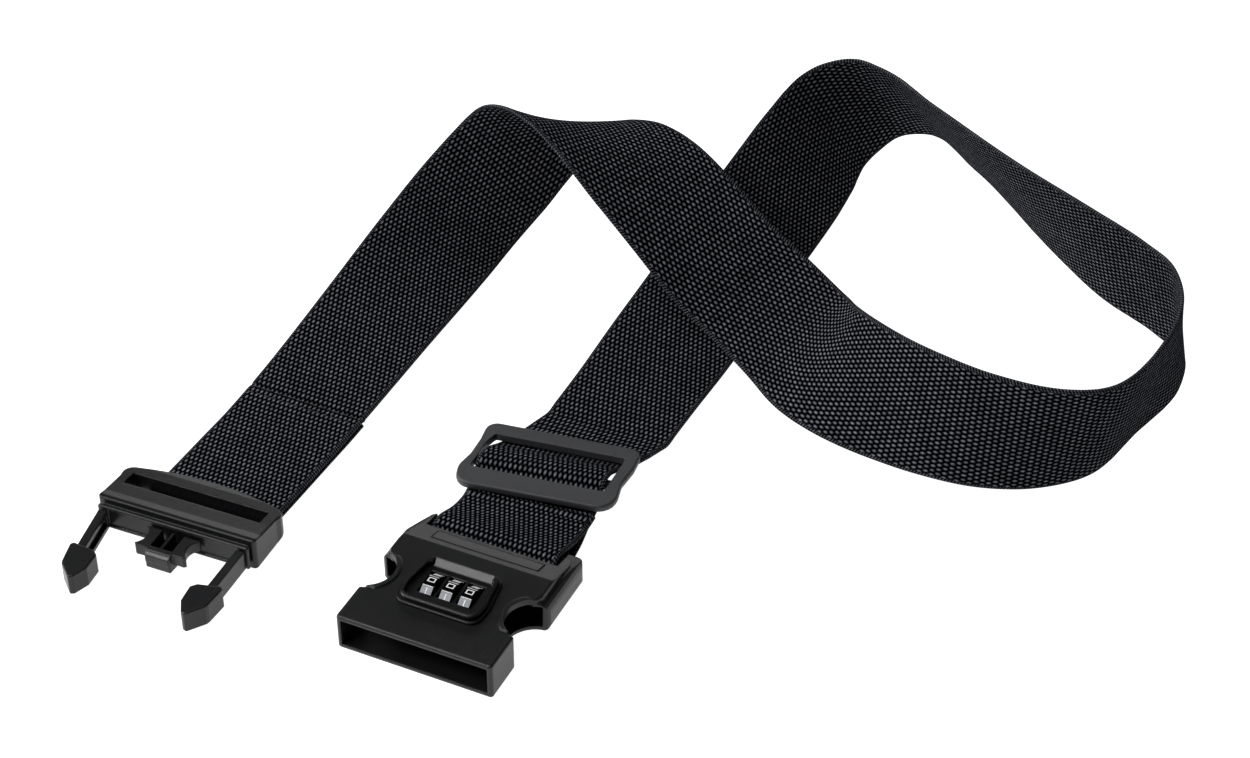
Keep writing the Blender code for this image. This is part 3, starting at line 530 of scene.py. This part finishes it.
# ---------------------------------------------------------------- dial numerals
FLATS = 10                    # numbered flats on each dial
FLAT_HALF_ANGLE = math.radians(15.5)
COLUMNS = (-1.45, -0.97, -0.24, 0.24, 0.97, 1.45)  # edges of a numeral's 5 columns and 5 rows of cells, in mm
ROWS = (1.15, 0.72, 0.215, -0.215, -0.72, -1.15)
RAISED = 0.06                 # how far the numerals stand proud
SUNK = 0.05                   # how far they reach into the metal
LINE_HALF_WIDTH, LINE_HALF_LENGTH, LINE_INSET = 0.12, 1.9, 0.2
NUMERALS = ["##### #...# #...# #...# #####", "..#.. ..#.. ..#.. ..#.. ..#..", "##### ....# ##### #.... #####",
            "##### ....# ##### ....# #####", "#...# #...# ##### ....# ....#", "##### #.... ##### ....# #####",
            "##### #.... ##### #...# #####", "##### ....# ....# ....# ....#", "##### #...# ##### #...# #####",
            "##### #...# ##### ....# #####"]


def raised(bm, at, columns, rows, cells):
    """Closed raised shape of filled cells ("#") in a grid, in a frame given by the matrix at."""
    corners = {}

    def corner(c, r, height):
        if (c, r, height) not in corners:
            corners[c, r, height] = bm.verts.new(at @ Vector((columns[c], rows[r], height)))
        return corners[c, r, height]

    def filled(c, r):
        return 0 <= r < len(cells) and 0 <= c < len(cells[r]) and cells[r][c] == "#"

    for r in range(len(cells)):
        for c in range(len(cells[r])):
            if not filled(c, r):
                continue
            ring = [(c, r), (c, r + 1), (c + 1, r + 1), (c + 1, r)]
            bm.faces.new([corner(x, y, RAISED) for x, y in ring])
            bm.faces.new([corner(x, y, -SUNK) for x, y in reversed(ring)])
            beyond = [(c - 1, r), (c, r + 1), (c + 1, r), (c, r - 1)]
            for k in range(4):
                if not filled(*beyond[k]):
                    p, q = ring[k], ring[(k + 1) % 4]
                    bm.faces.new((corner(*p, -SUNK), corner(*q, -SUNK), corner(*q, RAISED), corner(*p, RAISED)))


def numerals(dial, body):
    """Raised numerals 0 to 9 round a dial, 0 on top, with a thin line between every two flats."""
    low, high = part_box(dial)
    centre = (low + high) / 2 / MM
    radius = max((v.co / MM - centre).yz.length for v in NODES[dial].data.vertices)
    apothem = radius * math.cos(FLAT_HALF_ANGLE)
    edge = radius * math.sin(FLAT_HALF_ANGLE) - LINE_INSET
    bm = bmesh.new()
    for k, cells in enumerate(NUMERALS):
        a = math.pi / 2 + k * 2 * math.pi / FLATS
        out, up = Vector((0, math.cos(a), math.sin(a))), Vector((0, math.sin(a), -math.cos(a)))
        turn = Matrix((Vector((1, 0, 0)), up, out)).transposed().to_4x4()
        at = Matrix.Translation(centre + out * apothem) @ turn
        raised(bm, at, COLUMNS, ROWS, cells.split())
        line = (edge + LINE_HALF_WIDTH, edge - LINE_HALF_WIDTH)
        raised(bm, at, (-LINE_HALF_LENGTH, LINE_HALF_LENGTH), line, ["#"])
    bmesh.ops.scale(bm, vec=(MM, MM, MM), verts=bm.verts)
    bmesh.ops.recalc_face_normals(bm, faces=bm.faces)
    return add_piece(dial + "_numerals", bm, white_print, body)


def add_piece(name, bm, material, body, smooth=False):
    mesh = bpy.data.meshes.new(name)
    for face in bm.faces:
        face.smooth = smooth
    bm.to_mesh(mesh)
    bm.free()
    mesh.materials.append(material)
    obj = bpy.data.objects.new(name, mesh)
    bpy.context.scene.collection.objects.link(obj)
    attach(obj, body)
    return obj


white_print = print_material("dial_marking", (0.80, 0.80, 0.80))
for number in (1, 2, 3):
    numerals("dial_%d" % number, "dial_body_%d" % number)


# ---------------------------------------------------------------- sewing thread and frayed yarn
def tube(bm, points, radius, sides=6):
    """A closed thread through points in mm, thinner at both ends."""
    rings = []
    for i, p in enumerate(points):
        ahead = (points[min(i + 1, len(points) - 1)] - points[max(i - 1, 0)]).normalized()
        across = ahead.orthogonal().normalized()
        other = ahead.cross(across)
        r = radius * (0.55 if i in (0, len(points) - 1) else 1.0)
        rings.append([bm.verts.new((p + (across * math.cos(t) + other * math.sin(t)) * r) * MM)
                      for t in (2 * math.pi * k / sides for k in range(sides))])
    for a, b in zip(rings, rings[1:]):
        for k in range(sides):
            bm.faces.new((a[k], a[(k + 1) % sides], b[(k + 1) % sides], b[k]))
    bm.faces.new(list(reversed(rings[0])))
    bm.faces.new(rings[-1])


def on_strap(distance, across, up):
    """A point in mm: distance along the strap, mm across from its middle, mm above its middle surface."""
    i = min(max(distance / SPACING, 0.0), len(dist) - 1.001)
    k, t = int(i), i - int(i)
    mid = mids[k] * (1 - t) + mids[k + 1] * t
    side = sides[k] * (1 - t) + sides[k + 1] * t
    norm = norms[k] * (1 - t) + norms[k + 1] * t
    return Vector(mid + side * across + norm * up)


STITCH, STITCH_GAP = 2.4, 0.8
LOOSE_YARNS = 78             # at the cut end; from LONG_YARNS_FROM on, some are longer
LONG_YARNS_FROM = 62
rng = random.Random(7)


def stitch_rows(name, rows):
    """Rows of short stitches across the strap's upper face, each a small arch of thread."""
    bm = bmesh.new()
    for distance in rows:
        x = -WIDTH / 2 + 2.2
        while x + STITCH < WIDTH / 2 - 1.8:
            wander = rng.uniform(-0.18, 0.18)
            points = []
            for t in np.linspace(0, 1, 7):
                rise = THICK / 2 - 0.2 + 0.42 * math.sin(math.pi * t) ** 0.6
                points.append(on_strap(distance + wander * t, x + STITCH * t, rise))
            tube(bm, points, 0.22)
            x += STITCH + STITCH_GAP
    bmesh.ops.recalc_face_normals(bm, faces=bm.faces)
    return add_piece(name, bm, thread, "strap", True)


def frayed_end(name):
    """Loose ends of the warp yarns along the strap's cut end, with a few longer ones near its right edge."""
    bm = bmesh.new()
    last = dist[-1]
    ahead = Vector(mids[-1] - mids[-3]).normalized()
    up = Vector(norms[-1])
    for k in range(LOOSE_YARNS):
        x = -WIDTH / 2 + 0.6 + (WIDTH - 1.2) * (k + rng.uniform(-0.35, 0.35)) / (LOOSE_YARNS - 1)
        long = rng.uniform(0.9, 1.9) * (1.7 if k > LONG_YARNS_FROM and rng.random() < 0.4 else 1.0)
        height = rng.uniform(-0.45, 0.5)
        root = on_strap(last - 0.5, x, height)
        lean = Vector(sides[-1]) * rng.uniform(-0.5, 0.5) + up * rng.uniform(0.0, 0.55)
        curl = up * rng.uniform(-0.3, 0.35) + Vector(sides[-1]) * rng.uniform(-0.4, 0.4)
        points = [root + (ahead + lean) * (long * t) + curl * (long * t * t)
                  for t in (0.0, 0.3, 0.55, 0.8, 1.0)]
        tube(bm, points, rng.uniform(0.10, 0.17), 5)
    bmesh.ops.recalc_face_normals(bm, faces=bm.faces)
    return add_piece(name, bm, frayed, "strap", True)


stitch_rows("plug_seam_stitches", [seam - 1.0, seam - 4.2])
stitch_rows("flap_end_stitches", [dist[-1] - 3.0])
frayed_end("flap_end_frayed_yarns")


# ---------------------------------------------------------------- studio
def area_light(name, place, target, size, power, size_y=None):
    data = bpy.data.lights.new(name, "AREA")
    data.shape = "RECTANGLE"
    data.size = size
    data.size_y = size_y or size
    data.energy = power
    obj = bpy.data.objects.new(name, data)
    obj.location = place
    obj.rotation_euler = (Vector(target) - Vector(place)).to_track_quat("-Z", "Y").to_euler()
    obj.visible_camera = False
    bpy.context.scene.collection.objects.link(obj)
    return obj


def studio():
    scene = bpy.context.scene
    world = bpy.data.worlds.new("studio")
    scene.world = world
    world.use_nodes = True
    background = world.node_tree.nodes["Background"]
    background.inputs["Color"].default_value = (1.0, 1.0, 1.0, 1.0)
    background.inputs["Strength"].default_value = 0.045
    bm = bmesh.new()
    bmesh.ops.create_grid(bm, x_segments=1, y_segments=1, size=3.0)
    mesh = bpy.data.meshes.new("floor")
    bm.to_mesh(mesh)
    bm.free()
    floor = bpy.data.objects.new("floor", mesh)
    floor.location = (0.0, 0.2, -0.0002)
    scene.collection.objects.link(floor)
    g = Graph("pale_floor")
    g.set(Base_Color=(0.3, 0.3, 0.3, 1.0), Roughness=0.7)
    g.shader.inputs["Emission Color"].default_value = (1.0, 1.0, 1.0, 1.0)
    g.shader.inputs["Emission Strength"].default_value = 1.0
    mesh.materials.append(g.material)
    middle = (0.03, 0.14, 0.02)
    area_light("key", (-1.45, -0.40, 0.80), middle, 0.9, 25.0)
    area_light("glint", (-0.61, -0.80, 1.36), middle, 0.42, 10.0)
    area_light("top", (-0.55, 0.12, 1.5), middle, 0.8, 8.0)
    area_light("rear", (-0.4, 1.9, 0.7), middle, 1.8, 7.0, 0.5)
    scene.view_settings.view_transform = "Standard"
    scene.view_settings.gamma = 0.85


def camera():
    data = bpy.data.cameras.new("camera")
    data.lens = 81.315
    data.sensor_width = 36.0
    data.clip_start = 0.01
    obj = bpy.data.objects.new("camera", data)
    obj.location = (0.35961, -0.62588, 0.67650)
    obj.rotation_euler = Euler((math.radians(90.0 - 38.405), 0.0, math.radians(25.186)))
    bpy.context.scene.collection.objects.link(obj)
    bpy.context.scene.camera = obj


studio()
camera()
bpy.context.view_layer.update()
